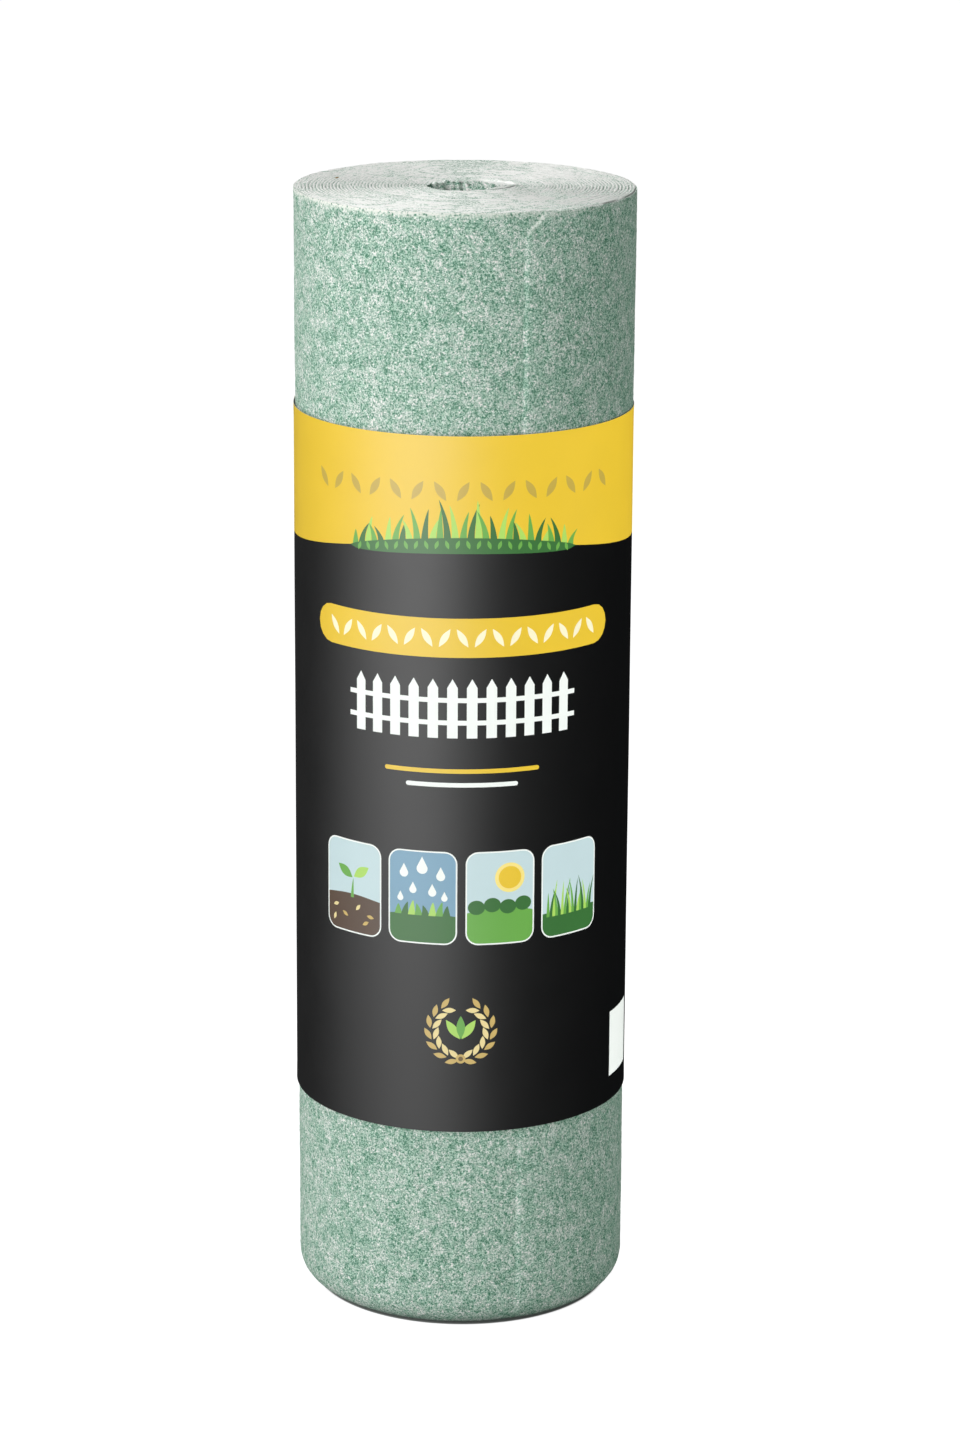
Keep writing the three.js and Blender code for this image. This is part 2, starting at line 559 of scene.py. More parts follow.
def mouth_narrowing(azimuth, depth):
    """How much narrower the bore is below its mouth, which has opened out at the back."""
    back = smooth(0.3, -0.6, math.cos(math.radians(azimuth)))
    return MOUTH_FLARE * back * smooth(0, MOUTH_DEPTH, depth) * (1 - smooth(20, 60, depth))


def plan_point(azimuth, radius, height, filled=1.0):
    """A point of the roll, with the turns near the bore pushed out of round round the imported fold.
    filled is 1 outside the fold, and 0 on the wall of the bore."""
    beyond = max(0.0, radius - BORE_RADIUS)
    slow, quick = math.exp(-beyond / BORE_REACH), math.exp(-beyond / PLEAT_REACH)
    depth = max(0.0, ROLL_HEIGHT - height) if height > ROLL_HEIGHT / 2 else max(0.0, height)
    fold = fold_width(azimuth)
    crumple = pleats(azimuth, depth) * quick * (1 - 0.8 * filled * fold / FOLD_WIDTH)
    crumple -= mouth_narrowing(azimuth, depth) * quick
    x, y, z = polar(azimuth, radius + (squeeze(azimuth) + fold * filled) * slow + crumple, height)
    return (x + BORE_CENTRE[0] * slow * MM, y + BORE_CENTRE[1] * slow * MM, z)


def mouth_height(azimuth):
    """Height of the ruffled innermost turns at the back of the bore."""
    a = math.radians(azimuth)
    c, s = math.cos(a), math.sin(a)
    return MOUTH_RUFFLE * smooth(0.3, -0.5, c) * wave(7 * c, 7 * s, seed=71)


def crest_share(azimuth):
    """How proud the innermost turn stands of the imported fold, which it does along the fold's back."""
    return smooth(FOLD_AZIMUTH - 12, FOLD_AZIMUTH + 6, azimuth) * (1 - smooth(150, 175, azimuth))


def bore_painted_light_and_shade(azimuth, depth):
    """Painted light where the bore's far wall catches the light, painted shade in its pinched left corner,
    and a touch darker all over.
    """
    spot = math.exp(-((azimuth_gap(azimuth, 166) / 6) ** 2)) * (1 - smooth(5, 12, depth))
    corner = math.exp(-((azimuth_gap(azimuth, -85) / 22) ** 2))
    return 0.6 * spot - 0.3 * corner - 0.02


def pale_rim_and_highlight(azimuth, height):
    """How pale the face is along its top rim: faint all round, and a painted highlight, mostly at the front
    left where the key light falls, and beside the tear.
    """
    left = 0.1 + 0.9 * max(0.0, math.cos(math.radians(azimuth + 40)))
    rim = left * smooth(ROLL_HEIGHT - 3.5, ROLL_HEIGHT - 0.5, height)
    beside_tear = 1 - smooth(0.0, 1.6, (azimuth - seam_azimuth(height)) % 360)
    return max(rim, 0.6 * beside_tear * smooth(ROLL_HEIGHT - 20, ROLL_HEIGHT - 6, height))


def bore_edge(turn):
    """Radius of the innermost face before it is squeezed, at a share of the last turn."""
    return BORE_RADIUS + TURN_PITCH * (0.5 - turn)


def grid_faces(rows, columns):
    """Faces of a grid of points that is stored row by row."""
    faces = []
    for r in range(rows - 1):
        for c in range(columns - 1):
            a = r * columns + c
            faces.append((a, a + 1, a + columns + 1, a + columns))
    return faces


def weld_mesh(mesh):
    """Joins points that lie in one place."""
    work = bmesh.new()
    work.from_mesh(mesh)
    bmesh.ops.remove_doubles(work, verts=work.verts, dist=0.002 * MM)
    work.to_mesh(mesh)
    work.free()


def make_piece(name, points, faces, materials, attributes=(), weld=True):
    """A smooth mesh object that rides on the roll, with a number for each point in each named attribute."""
    mesh = bpy.data.meshes.new(name)
    mesh.from_pydata(points, [], faces)
    for material in materials:
        mesh.materials.append(material)
    for key, values in attributes:
        mesh.attributes.new(key, "FLOAT", "POINT").data.foreach_set("value", values)
    piece = bpy.data.objects.new(name, mesh)
    bpy.context.scene.collection.objects.link(piece)
    if weld:
        weld_mesh(mesh)
    mesh.polygons.foreach_set("use_smooth", [True] * len(mesh.polygons))
    mesh.update()
    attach(piece, "root")
    return piece


def side_rows():
    """Heights and insets of the outer face's rows, from the foot's flat edge to the top rim."""
    rows = []
    arc_steps = 14
    for step in range(arc_steps):
        angle = math.pi / 2 * step / arc_steps
        rows.append((FOOT_ROUNDING * (1 - math.cos(angle)), FOOT_ROUNDING * (1 - math.sin(angle))))
    spans = (
        (FOOT_ROUNDING, LABEL_FOOT + LABEL_COVER, FELT_ROW),
        (LABEL_FOOT + LABEL_COVER, LABEL_TOP - LABEL_COVER, HIDDEN_ROW),
        (LABEL_TOP - LABEL_COVER, ROLL_HEIGHT - RIM_DROP, FELT_ROW),
    )
    for low, high, step in spans:
        count = round((high - low) / step)
        rows += [(low + (high - low) * i / count, 0.0) for i in range(count)]
    rows.append((ROLL_HEIGHT - RIM_DROP, 0.0))
    rows.append((ROLL_HEIGHT, RIM_INSET))
    return rows


def felt_lumps(azimuth, height):
    """Relief of the felt's face, in millimetres, which the label presses flat."""
    turn = math.radians(azimuth)
    x, y = ROLL_RADIUS * math.sin(turn), -ROLL_RADIUS * math.cos(turn)
    lumps = 0.16 * wave(x / 3.2, y / 3.2, height / 3.2, seed=12)
    lumps += 0.12 * wave(x / 1.7, y / 1.7, height / 1.7, seed=13)
    slow = 0.25 * wave(x / 45, y / 45, height / 45, seed=14)
    above = smooth(LABEL_TOP, LABEL_TOP + 4, height)
    below = 1 - smooth(LABEL_FOOT - 4, LABEL_FOOT, height)
    return (lumps + slow) * max(above, below)


def face_point(turn, height, inset=0.0):
    """A point of the mat's outer face, at a share of the outer turn."""
    azimuth = seam_azimuth(height) + 360 * turn
    lumps = 0.0 if inset == RIM_INSET else felt_lumps(azimuth, height)
    near_top = smooth(ROLL_HEIGHT - 14, ROLL_HEIGHT, height)
    lift = (turn_height(turn, TOP_SEED) - outer_slip(turn)) * near_top
    return plan_point(azimuth, turn_radius(turn, height) - inset + lumps, height + lift)


def outer_face():
    """The mat's outer face from the foot's edge to the top rim, with the mat's outer end."""
    points, rim_bands_and_highlights = [], []
    rows = side_rows()
    for height, inset in rows:
        for turn in FACE_TURNS:
            points.append(face_point(turn, height, inset))
            rim_bands_and_highlights.append(pale_rim_and_highlight(seam_azimuth(height) + 360 * turn, height))
    faces = grid_faces(len(rows), COLUMNS + 2)
    felt = felt_material("seed_mat_felt")
    piece = make_piece("wound_mat_outer_face", points, faces, [felt], (("rim_band_and_highlight", rim_bands_and_highlights),))
    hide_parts("seed_mat_roll")


def edge_profile(whole, seed, slip, crest):
    """Place, height and painted shade of three points over a turn's cut edge, from its outer side inwards."""
    proud = turn_height(whole, seed) - slip + crest * CREST_HEIGHT
    opened = max(groove_opening(whole, seed), outer_gap(whole, seed))
    # The outer point takes a painted shadow where the loose outer end stands off it, and the gap's bottom
    # takes painted shade.
    return (
        (0.0, proud, 0.7 * outer_gap(whole - 1, seed)),
        (0.5 - 0.2 * opened, proud - turn_tilt(whole, seed), 0.0),
        (GROOVE_PLACE, groove_height(whole, seed), (0.15 + 0.85 * opened) * (1 - crest)),
    )


def wound_end(name, columns, rim_inset, height, seed, material):
    """One end of the roll: the cut edge of every turn of the mat, as one spiral from the rim to the bore."""
    at_top = height > 0
    rim_radius = turn_radius(1, height) + TURN_PITCH - rim_inset
    turns = round((rim_radius - BORE_RADIUS) / TURN_PITCH)
    pitch = (rim_radius - BORE_RADIUS) / (turns - 1 + GROOVE_PLACE + 0.5)
    points, tones, groove_shades = [], [], []
    for column in range(columns + 1):
        turn = column / columns
        azimuth = seam_azimuth(height) + 360 * turn
        for layer in range(turns):
            whole = layer + turn
            slip = outer_slip(whole) if at_top else 0.0
            crest = crest_share(azimuth % 360) * smooth(turns - 1.6, turns - 1.0, whole)
            ruffle = mouth_height(azimuth) * smooth(turns - 4, turns - 1, whole)
            for place, level, shade in edge_profile(whole, seed, slip, crest):
                lift = level + ruffle if at_top else max(0.0, -level)
                if not at_top and layer == 0:
                    lift = 0.0
                radius = rim_radius - pitch * (whole + place)
                if whole < 1 and place == 0:
                    radius = turn_radius(turn, height) - rim_inset
                points.append(plan_point(azimuth, radius, height + lift))
                crest_tone = 0.5 * crest if place == 0 else 0.0
                # The tone takes painted light at the end's left and right on top of the turn's own tone.
                tones.append(turn_tone(whole, seed) + crest_tone + painted_side_light(azimuth, radius))
                groove_shades.append(shade)
    faces = grid_faces(columns + 1, turns * 3)
    if not at_top:
        faces = [face[::-1] for face in faces]
    attributes = (("turn_tone", tones), ("groove_shade", groove_shades))
    piece = make_piece(name, points, faces, [material], attributes)
    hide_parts("seed_mat_roll")
    return turns


def bore_wall(top_turns, material):
    """The innermost face, a pleated tube from the top end to the foot, with the mat's inner end as a step."""
    depths = [0, 1.5, 3, 5, 7, 9.5, 12, 15, 18, 22, 26, 31, 37, 45, 60, 80, 110, 150, 200]
    heights = [ROLL_HEIGHT - depth for depth in depths] + depths[::-1]
    points, painted_light_and_shade = [], []
    for height in heights:
        for turn in FACE_TURNS:
            azimuth = seam_azimuth(height) + 360 * turn
            lift = 0.0
            if height == ROLL_HEIGHT:
                lift = groove_height(top_turns - 1 + turn, TOP_SEED) + mouth_height(azimuth)
            points.append(plan_point(azimuth, bore_edge(turn), height + lift, filled=0.0))
            painted_light_and_shade.append(bore_painted_light_and_shade(azimuth, min(ROLL_HEIGHT - height, height)))
    faces = [face[::-1] for face in grid_faces(len(heights), COLUMNS + 2)]
    attributes = (("painted_light_and_shade", painted_light_and_shade),)
    piece = make_piece("wound_mat_bore_wall", points, faces, [material], attributes)
    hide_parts("seed_mat_roll")


def packed_fold(top_turns, material):
    """The cut edges of the mat's folded inner end, between the pointed innermost turn and the bore."""
    points, tones, groove_shades = [], [], []
    for column in range(FOLD_COLUMNS + 1):
        azimuth = FOLD_AZIMUTH + FOLD_SPREAD * (2 * column / FOLD_COLUMNS - 1)
        turn = ((azimuth - seam_azimuth(ROLL_HEIGHT)) % 360) / 360
        whole = top_turns - 1 + turn
        share = fold_width(azimuth) / FOLD_WIDTH
        rim = groove_height(whole, TOP_SEED) + mouth_height(azimuth)
        front = smooth(FOLD_AZIMUTH + 12, FOLD_AZIMUTH - 12, azimuth)
        for layer in range(FOLD_LAYERS):
            for part in range(3):
                filled = 1 - (layer + part / 3) / (FOLD_LAYERS - 1 / 3)
                inside = min(1.0, 3 * (layer + part / 3)) * min(1.0, 6 * filled)
                level = turn_height(whole + 1 + layer, FOLD_SEED) - (0.3 if part == 2 else 0.0)
                level += 0.7 * front - 0.3
                lift = rim + (level - rim) * inside * min(1.0, 3 * share)
                points.append(plan_point(azimuth, bore_edge(turn), ROLL_HEIGHT + lift, filled))
                tones.append(turn_tone(whole + 1 + layer, FOLD_SEED))
                # Painted shade along the fold's front step and down between its layers.
                step_shade = front * max(0.0, 1.0 - 0.4 * part) if layer == 0 else 0.0
                groove_shades.append(max(step_shade, 0.3 if part == 2 else 0.0))
    faces = grid_faces(FOLD_COLUMNS + 1, FOLD_LAYERS * 3)
    attributes = (("turn_tone", tones), ("groove_shade", groove_shades))
    piece = make_piece("wound_mat_packed_fold", points, faces, [material], attributes)
    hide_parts("seed_mat_roll")


def seed_material():
    n = Nodes("grass_seed_husk")
    streaks = n.noise(0.5, 2.0, 0.6, place=n.stretched(0.3, 1.0, 1.0))
    husk = n.ramp(streaks, [(0.3, (150, 116, 66)), (0.7, (206, 176, 120))])
    n.dress({"Base Color": husk, "Roughness": 0.6, "Normal": n.bump(n.noise(0.3, 1.0), 0.05, 0.6)})
    return n.material


def ring(middle, across, upward, sides):
    """Points in metres round a middle, with two half axes, all three in millimetres."""
    turns = [2 * math.pi * j / sides for j in range(sides)]
    return [(middle + across * math.cos(a) + upward * math.sin(a)) * MM for a in turns]


def seed_points(x, y, z, length, turn, lean):
    """Rings of points of one grass seed, a slim husk with two pointed ends, about its middle."""
    rings, sides = 9, 8
    ahead = Vector((math.cos(turn) * math.cos(lean), math.sin(turn) * math.cos(lean), math.sin(lean)))
    across = ahead.cross(Vector((0, 0, 1))).normalized()
    upward = across.cross(ahead)
    middle = Vector((x, y, z))
    points = []
    for i in range(rings):
        t = i / (rings - 1)
        width = 0.17 * length * math.sin(math.pi * min(0.98, max(0.02, t))) ** 0.8
        points += ring(middle + ahead * (t - 0.5) * length, across * width, upward * 0.7 * width, sides)
    return points, rings, sides


def tube_faces(first, rings, sides):
    """Faces of a closed tube of rings of points, with both ends shut."""
    faces = [tuple(first + j for j in range(sides))[::-1]]
    for r in range(rings - 1):
        for j in range(sides):
            a, b = first + r * sides + j, first + r * sides + (j + 1) % sides
            faces.append((a, b, b + sides, a + sides))
    last = first + (rings - 1) * sides
    faces.append(tuple(last + j for j in range(sides)))
    return faces


def loose_seeds():
    """Grass seeds that show between the turns of the top end."""
    points, faces = [], []
    for x, y, length, turn in SEEDS:
        ring_points, rings, sides = seed_points(x, y, ROLL_HEIGHT + 0.25, length, turn, 0.15)
        faces += tube_faces(len(points), rings, sides)
        points += ring_points
    make_piece("grass_seeds_on_top_end", points, faces, [seed_material()], weld=False)


def fibre_material():
    """Loose pale cellulose fibres, a little translucent."""
    n = Nodes("seed_mat_loose_fibres")
    colour = n.ramp(n.noise(6.0, 1.0), [(0.35, (176, 202, 188)), (0.65, (236, 238, 233))])
    n.dress({"Base Color": colour, "Roughness": 0.8, "Specular IOR Level": 0.2})
    n.dress({"Subsurface Weight": 0.2, "Subsurface Radius": (0.0004, 0.0004, 0.0004)})
    return n.material


def fibre(root, ahead, out, length, rise, radius):
    """Rings of points of one curved, tapered fibre that lifts off the felt."""
    rings, sides = 4, 3
    side = ahead.cross(out)
    points = []
    for i in range(rings):
        t = i / (rings - 1)
        middle = root + ahead * length * t + out * (rise * math.sin(math.pi * 0.62 * t) - 0.05)
        thick = radius * (1 - 0.75 * t)
        points += ring(middle, side * thick, out * thick, sides)
    return points, rings, sides


def loose_fibres():
    """Short fibres that stand off the felt's face and its top rim, as a thin fuzz."""
    draw = random.Random(FIBRE_SEED)
    spans = ((4.0, LABEL_FOOT - 1.5), (LABEL_TOP + 1.5, ROLL_HEIGHT - 0.5))
    shares = [high - low for low, high in spans]
    points, faces = [], []
    for _ in range(FIBRES):
        low, high = draw.choices(spans, shares)[0]
        height = low + (high - low) * draw.random()
        turn = draw.random()
        azimuth = seam_azimuth(height) + 360 * turn
        inset = 0.0
        if height < FOOT_ROUNDING:
            inset = FOOT_ROUNDING - math.sqrt(FOOT_ROUNDING**2 - (FOOT_ROUNDING - height) ** 2)
        root = Vector(face_point(turn, height, inset)) / MM
        out = Vector(polar(azimuth, 1 / MM, 0))
        round_way = Vector((0, 0, 1)).cross(out)
        lean = draw.uniform(0, 2 * math.pi)
        ahead = round_way * math.cos(lean) + Vector((0, 0, 1)) * math.sin(lean)
        length, rise = draw.uniform(0.9, 2.8), draw.uniform(0.12, 0.55)
        if height + length > ROLL_HEIGHT:
            length *= 0.4
        ring_points, rings, sides = fibre(root, ahead, out, length, rise, draw.uniform(0.03, 0.06))
        faces += tube_faces(len(points), rings, sides)
        points += ring_points
    make_piece("seed_mat_loose_fibres", points, faces, [fibre_material()], weld=False)


def add_roll():
    outer_face()
    edges = cut_edge_material()
    bore_felt = felt_material("seed_mat_bore_felt")
    top_turns = wound_end("wound_mat_top_turns", COLUMNS, RIM_INSET, ROLL_HEIGHT, TOP_SEED, edges)
    wound_end("wound_mat_foot_turns", COLUMNS // 2, FOOT_ROUNDING, 0.0, FOOT_SEED, edges)
    bore_wall(top_turns, bore_felt)
    packed_fold(top_turns, edges)
    loose_seeds()
    loose_fibres()


# The printed label.

INKS = {
    "black": (6, 6, 7),
    "yellow": (235, 192, 32),
    "pale_yellow": (250, 224, 130),
    "cream": (252, 240, 205),
    "white": (244, 244, 242),
    "olive": (196, 163, 62),
    "green": (104, 170, 66),
    "lime": (172, 214, 92),
    "deep_green": (52, 112, 48),
    "soil": (88, 64, 48),
    "sky": (196, 214, 220),
    "water": (120, 160, 188),
    "gold": (206, 172, 96),
    "pale_gold": (236, 212, 150),
    "bronze": (120, 92, 44),
}
LABEL_BACK = (226, 224, 218)

PANEL_AZIMUTHS = (0.0, 180.0)
TILE_WIDTH = 36.0
TILE_HEIGHT = 50.0
TILE_CORNER = 6.0
TILE_GAP = 6.0
TILE_LEVEL = 246.0
TILE_RIM = 1.6
WREATH_SPROUT = (("lime", -4.2, 0.0, 125), ("lime", 4.2, 0.0, 55), ("green", 0.0, 1.2, 90))
GRASS_INKS = ("green", "lime", "deep_green")
SUN = (("pale_yellow", 8.2), ("yellow", 6.2))

# Place in the tile and direction of each seed, and place and size of each raindrop.
BURIED_SEEDS = ((-12, -12, 20), (-5, -16, -30), (4, -11, 50), (12, -15, -10), (-13, -19, 70), (9, -19, 30))
RAINDROPS = ((-10, 13, 2.4), (0, 16, 3.0), (10, 12, 2.4), (-5, 4, 2.0),
             (5.5, 3, 2.2), (-12, -1, 1.7), (12, 0, 1.7))


def ellipse(x, z, width, height, steps):
    """Outline of an ellipse about a centre."""
    turns = [2 * math.pi * i / steps for i in range(steps)]
    return [(x + width * math.cos(a), z + height * math.sin(a)) for a in turns]


def disc(x, z, radius, steps=20):
    return ellipse(x, z, radius, radius, steps)


def leaf(x, z, length, width, turn, steps=12):
    """Outline of a leaf with two pointed ends, about its middle."""
    c, s = math.cos(math.radians(turn)), math.sin(math.radians(turn))
    side = [(length * (i / steps - 0.5), width / 2 * math.sin(math.pi * i / steps)) for i in range(steps)]
    other = [(-u, -v) for u, v in side]
    return [(x + u * c - v * s, z + u * s + v * c) for u, v in side + other]


def blade(x, z, height, lean, width, steps=9):
    """Outline of a blade of grass that stands at x, z and bends over by lean."""
    left, right = [], []
    for i in range(steps + 1):
        t = i / steps
        middle = x + lean * t * t
        half = width / 2 * (1 - t) ** 0.7
        left.append((middle - half, z + height * t))
        right.append((middle + half, z + height * t))
    return left[:-1] + right[::-1]


def arc(x, z, radius, start, sweep, steps):
    """Points of an arc about a centre, with its angles in degrees."""
    turns = [math.radians(start + sweep * i / steps) for i in range(steps + 1)]
    return [(x + radius * math.cos(a), z + radius * math.sin(a)) for a in turns]


def bar(x, z, width, height):
    """Outline of a bar with round ends, about its middle."""
    reach, radius = (width - height) / 2, height / 2
    return arc(x + reach, z, radius, -90, 180, 8) + arc(x - reach, z, radius, 90, 180, 8)


def box_outline(x0, z0, x1, z1):
    return [(x0, z0), (x1, z0), (x1, z1), (x0, z1)]


def rounded_corners(x, z, width, height, radius, corners):
    """Round corners of a box about its middle, out of 0 to 3: from bottom left, anticlockwise."""
    outline = []
    for corner in corners:
        side_x, side_z = ((-1, -1), (1, -1), (1, 1), (-1, 1))[corner]
        middle = (x + side_x * (width / 2 - radius), z + side_z * (height / 2 - radius))
        outline += arc(*middle, radius, 90 * (corner + 2), 90, 6)
    return outline


def tile_ground(x, z, level, hill):
    """Outline of the ground in a tile: its rounded bottom corners, and a hill for a top edge."""
    outline = rounded_corners(x, z, TILE_WIDTH, TILE_HEIGHT, TILE_CORNER, (0, 1))
    steps = 16
    for i in range(steps + 1):
        t = 1 - 2 * i / steps
        outline.append((x + t * TILE_WIDTH / 2, z + level + hill * math.cos(math.pi * t / 2)))
    return outline


def tile(x, z, sky, ground, level, hill, drawing):
    """A rounded tile with a white rim, sky, ground and a drawing."""
    shapes = []
    for ink, rim in (("white", TILE_RIM), (sky, 0.0)):
        corner = TILE_CORNER + rim / 2
        shapes.append((ink, rounded_corners(x, z, TILE_WIDTH + rim, TILE_HEIGHT + rim, corner, range(4))))
    shapes.append((ground, tile_ground(x, z, level, hill)))
    return shapes + drawing(x, z)


def seeds_in_soil(x, z):
    """Seeds under the soil, and one that has come up."""
    shapes = []
    for i, (dx, dz, turn) in enumerate(BURIED_SEEDS):
        shapes.append((("pale_gold", "gold")[i % 2], leaf(x + dx, z + dz, 4.6, 2.0, turn)))
    shapes.append(("green", blade(x, z - 6, 11, 0.8, 2.2)))
    shapes.append(("green", leaf(x - 5.0, z + 8, 12, 5.4, -30)))
    shapes.append(("lime", leaf(x + 6.0, z + 9, 12, 5.4, 34)))
    return shapes


def rain(x, z):
    """Raindrops that fall on grass."""
    shapes = []
    for dx, dz, size in RAINDROPS:
        middle, level = x + dx, z + dz
        side, shoulder = size * 0.9, level + size * 0.4
        shapes.append(("white", disc(middle, level, size)))
        tip = (middle, level + size * 2.2)
        shapes.append(("white", [(middle - side, shoulder), (middle + side, shoulder), tip]))
    return shapes + tuft(x, z - 10, 30, 8, 9)


def sunny_meadow(x, z):
    """The sun over a meadow with a row of shrubs."""
    shapes = [(ink, disc(x + 5, z + 11, radius, 32)) for ink, radius in SUN]
    for i in range(4):
        shapes.append(("deep_green", ellipse(x - 13 + 8.5 * i, z - 5 + 1.2 * (i % 2), 4.6, 4.0, 20)))
    return shapes


def tall_grass(x, z):
    """Thick grass that fills the tile."""
    return tuft(x, z - 14, 31, 17, 22)


def grass(number, x, z, height, lean, width):
    """One blade of grass of many, whose ink and lean follow from its number."""
    return (GRASS_INKS[number * 2 % 3], blade(x, z, height, lean * math.sin(number * 1.3), width))


def tuft(x, z, width, blades, height):
    """Blades of grass in three greens, which all stand at the height z."""
    shapes = []
    for i in range(blades):
        bx = x - width / 2 + width * (i + 0.5) / blades
        tall = height * (0.62 + 0.3 * math.sin(i * 2.3) ** 2)
        shapes.append(grass(i, bx, z, tall, height * 0.18, width / blades * 1.15))
    return shapes


# Sky, ground, the ground's level and hill, and what each tile shows.
TILES = (
    ("sky", "soil", -6, 2.0, seeds_in_soil),
    ("water", "deep_green", -10, 1.5, rain),
    ("sky", "green", -8, 3.0, sunny_meadow),
    ("sky", "deep_green", -12, 1.0, tall_grass),
)


def leaf_row(x, z, count, pitch, length, width, ink):
    """A row of leaves that lean to and fro."""
    first = x - pitch * (count - 1) / 2
    return [(ink, leaf(first + pitch * i, z, length, width, 58 if i % 2 else 122)) for i in range(count)]


def turf(x, around):
    """A strip of turf with grass on it, along the edge of the yellow band."""
    half, steps = 64.0, 32
    over, under = [], []
    for i in range(steps + 1):
        t = 2 * i / steps - 1
        edge = band_edge(x + t * half, around)
        swell = math.sqrt(max(0.0, 1 - t * t))
        over.append((x + t * half, edge + 3.0 * swell))
        under.append((x + t * half, edge - 5.5 * swell))
    shapes = []
    blades = 31
    for i in range(blades):
        t = 1.88 * i / (blades - 1) - 0.94
        tall = 8 + 7 * math.sin(i * 2.3) ** 2 + 9 * math.exp(-((t / 0.45) ** 2))
        place = x + t * half
        shapes.append(grass(i, place, band_edge(place, around), tall, 5, 4.2))
    shapes.append(("deep_green", under + over[1:-1][::-1]))
    for i in range(22):
        t = 1.8 * i / 21 - 0.9
        place = x + t * half
        shapes.append(("green", leaf(place, band_edge(place, around) - 0.6, 5.0, 2.0, 70 + 40 * (i % 2))))
    return shapes


def fence(x, z, width, height, pickets):
    """A white picket fence that stands at the height z."""
    left, right = x - width / 2, x + width / 2
    rails = [z + height * share for share in (0.22, 0.6)]
    shapes = [("white", box_outline(left, rail, right, rail + 2.6)) for rail in rails]
    pitch = width / (pickets + 0.4)
    half = pitch * 0.27
    for i in range(pickets):
        px = x + pitch * (i - (pickets - 1) / 2)
        shoulder = z + height * 0.85
        foot = [(px - half, z), (px + half, z)]
        shapes.append(("white", foot + [(px + half, shoulder), (px, z + height), (px - half, shoulder)]))
    return shapes


def wreath(x, z, radius, leaves):
    """A gold wreath of paired leaves, open at the top, with a ball where its stems meet."""
    shapes = []
    for side in (-1, 1):
        for i in range(leaves):
            a = math.radians(-90 + side * (16 + 136 * i / (leaves - 1)))
            along = math.degrees(a) + 90 * side
            for tilt, ink, reach in ((-26, "gold", 2.2), (26, "pale_gold", -2.2)):
                r = radius + reach
                centre = (x + r * math.cos(a), z + r * math.sin(a))
                shapes.append((ink, leaf(*centre, 7.4, 2.9, along + side * tilt)))
    shapes.append(("gold", disc(x, z - radius, 2.6, 24)))
    shapes.append(("bronze", disc(x, z - radius, 1.3, 16)))
    return shapes


def band_edge(x, around):
    """Height of the edge between the yellow band and the black, over the unrolled label."""
    return 432 + 6.5 * math.cos(4 * math.pi * x / around)


def panel(x, around):
    """The shapes of one front panel, about its middle x."""
    shapes = leaf_row(x, 466, 15, 12, 12, 4.2, "olive")
    shapes += turf(x, around)
    shapes.append(("yellow", bar(x, 388, 178, 21)))
    shapes += leaf_row(x, 388, 17, 9.4, 11.5, 3.6, "cream")
    shapes += fence(x, 334, 128, 32, 12)
    shapes.append(("yellow", bar(x, 316, 84, 2.4)))
    shapes.append(("white", bar(x, 308.5, 60, 2.4)))
    for i, (sky, ground, level, hill, drawing) in enumerate(TILES):
        place = x + (i - (len(TILES) - 1) / 2) * (TILE_WIDTH + TILE_GAP)
        shapes += tile(place, TILE_LEVEL, sky, ground, level, hill, drawing)
    shapes += wreath(x, 172, 15.5, 7)
    shapes += [(ink, leaf(x + dx, 173 + dz, 13, 4.6, turn)) for ink, dx, dz, turn in WREATH_SPROUT]
    shapes.append(("white", box_outline(x + 100, 129, x + 129, 166)))
    return shapes


def label_shapes(left, right, around):
    """Every printed shape on the unrolled label, from the lowest ink to the highest."""
    steps = 180
    places = [left + (right - left) * i / steps for i in range(steps + 1)]
    edge = [(x, band_edge(x, around)) for x in places]
    shapes = [("black", box_outline(left, LABEL_FOOT, right, LABEL_TOP))]
    shapes.append(("yellow", edge + [(right, LABEL_TOP), (left, LABEL_TOP)]))
    for azimuth in PANEL_AZIMUTHS:
        shapes += panel(around * azimuth / 360, around)
    return shapes


def signed_area(outline):
    """Area of an outline, which is positive where its points run anticlockwise."""
    pairs = zip(outline, outline[1:] + outline[:1])
    return sum(x0 * z1 - x1 * z0 for (x0, z0), (x1, z1) in pairs) / 2


def label_mesh(left, right, shapes):
    """Cuts the unrolled label into triangles along every shape and along a grid, and names each one's ink."""
    points, edges, faces = [], [], []
    for _, outline in shapes:
        outline = outline if signed_area(outline) > 0 else outline[::-1]
        first = len(points)
        points += [Vector((x, z)) for x, z in outline]
        faces.append(list(range(first, first + len(outline))))
    around = 2 * math.pi * LABEL_RADIUS
    columns = math.ceil((right - left) / (around * LABEL_COLUMN / 360))
    rows = math.ceil((LABEL_TOP - LABEL_FOOT) / LABEL_ROW)
    places = [left + (right - left) * i / columns for i in range(1, columns)]
    levels = [LABEL_FOOT + (LABEL_TOP - LABEL_FOOT) * i / rows for i in range(1, rows)]
    lines = [((x, LABEL_FOOT), (x, LABEL_TOP)) for x in places]
    lines += [((left, z), (right, z)) for z in levels]
    for line in lines:
        edges.append((len(points), len(points) + 1))
        points += [Vector(end) for end in line]
    result = geometry.delaunay_2d_cdt(points, edges, faces, 1, 1e-4)
    flat, triangles, sources = result[0], result[2], result[5]
    inks = [shapes[max(source)][0] for source in sources]
    return flat, triangles, inks


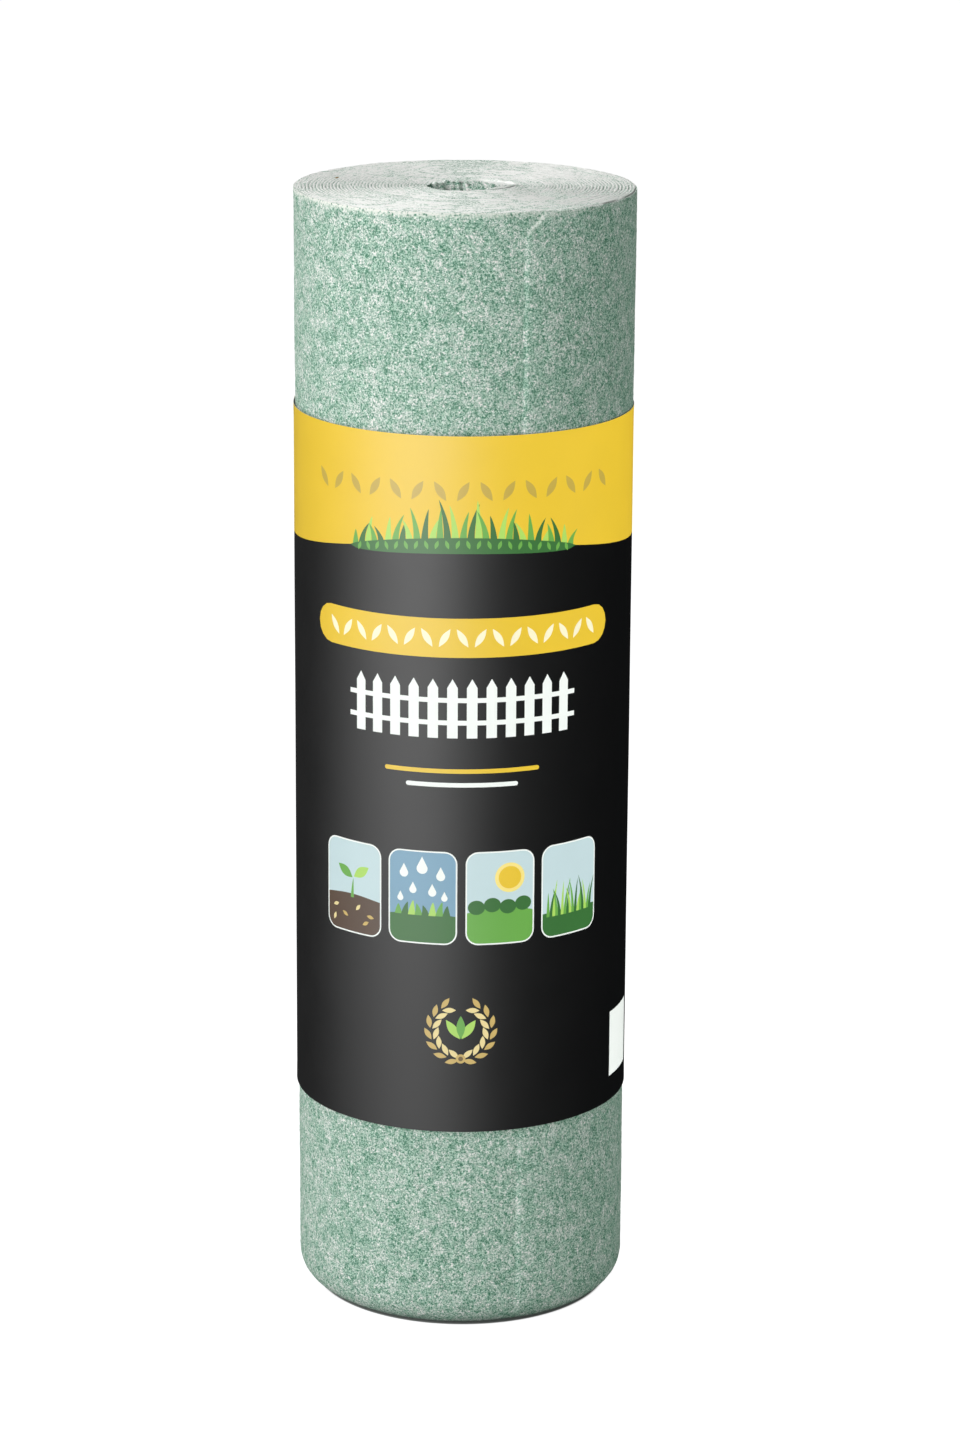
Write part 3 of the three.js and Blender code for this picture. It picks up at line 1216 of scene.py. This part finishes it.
def label_radius(x, z, right, around):
    """Radius of the label's outer side, with slow waves and with its end lapped over its start."""
    azimuth = math.radians(360 * x / around)
    waves = LABEL_WAVE * wave(2 * math.cos(azimuth), 2 * math.sin(azimuth), z / 90, seed=50)
    edge_lift = LABEL_EDGE_LIFT * (1 - smooth(0, 7, min(z - LABEL_FOOT, LABEL_TOP - z)))
    lap = LABEL_LAP_LIFT * smooth(right - LABEL_LAP - 16, right - LABEL_LAP - 2, x)
    return LABEL_RADIUS - LABEL_SLACK + waves + edge_lift + lap


def label_sides(flat, right, around):
    """Points and normals of the label's outer side, and then of its inner side."""
    points, normals = [], []
    for side, inset in ((1, 0.0), (-1, LABEL_PAPER)):
        for x, z in flat:
            azimuth = 360 * x / around
            points.append(polar(azimuth, label_radius(x, z, right, around) - inset, z))
            normals.append(Vector(polar(azimuth, side / MM, 0)))
    return points, normals


def rim_pairs(triangles):
    """The pairs of points along the edges that only one triangle has."""
    pairs = [pair for a, b, c in triangles for pair in ((a, b), (b, c), (c, a))]
    known = set(pairs)
    return [(a, b) for a, b in pairs if (b, a) not in known]


def add_label():
    around = 2 * math.pi * LABEL_RADIUS
    left = around * LABEL_LAP_AZIMUTH / 360
    right = left + around + LABEL_LAP
    shapes = label_shapes(left, right, around)
    flat, triangles, inks = label_mesh(left, right, shapes)
    names = list(INKS)
    materials = [print_material(f"label_{name}", INKS[name]) for name in names]
    materials.append(print_material("label_paper_back", LABEL_BACK, 0.7))
    back = len(names)

    points, normals = label_sides(flat, right, around)
    faces, slots = [], []
    count = len(flat)
    for (a, b, c), ink in zip(triangles, inks):
        faces.append((a, b, c))
        slots.append(names.index(ink))
    for a, b, c in triangles:
        faces.append((c + count, b + count, a + count))
        slots.append(back)
    for a, b in rim_pairs(triangles):
        faces.append((b, a, a + count, b + count))
        slots.append(back)

    piece = make_piece("printed_label_sleeve", points, faces, materials, weld=False)
    mesh = piece.data
    mesh.polygons.foreach_set("material_index", slots)
    loop_normals = []
    first_rim = 2 * len(triangles)
    for polygon in mesh.polygons:
        for vertex in polygon.vertices:
            loop_normals.append(polygon.normal if polygon.index >= first_rim else normals[vertex])
    mesh.normals_split_custom_set(loop_normals)
    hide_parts("label_sleeve")
    return piece


add_camera()
add_lights()
add_world()
add_floor()
add_roll()
light_label_evenly(add_label())
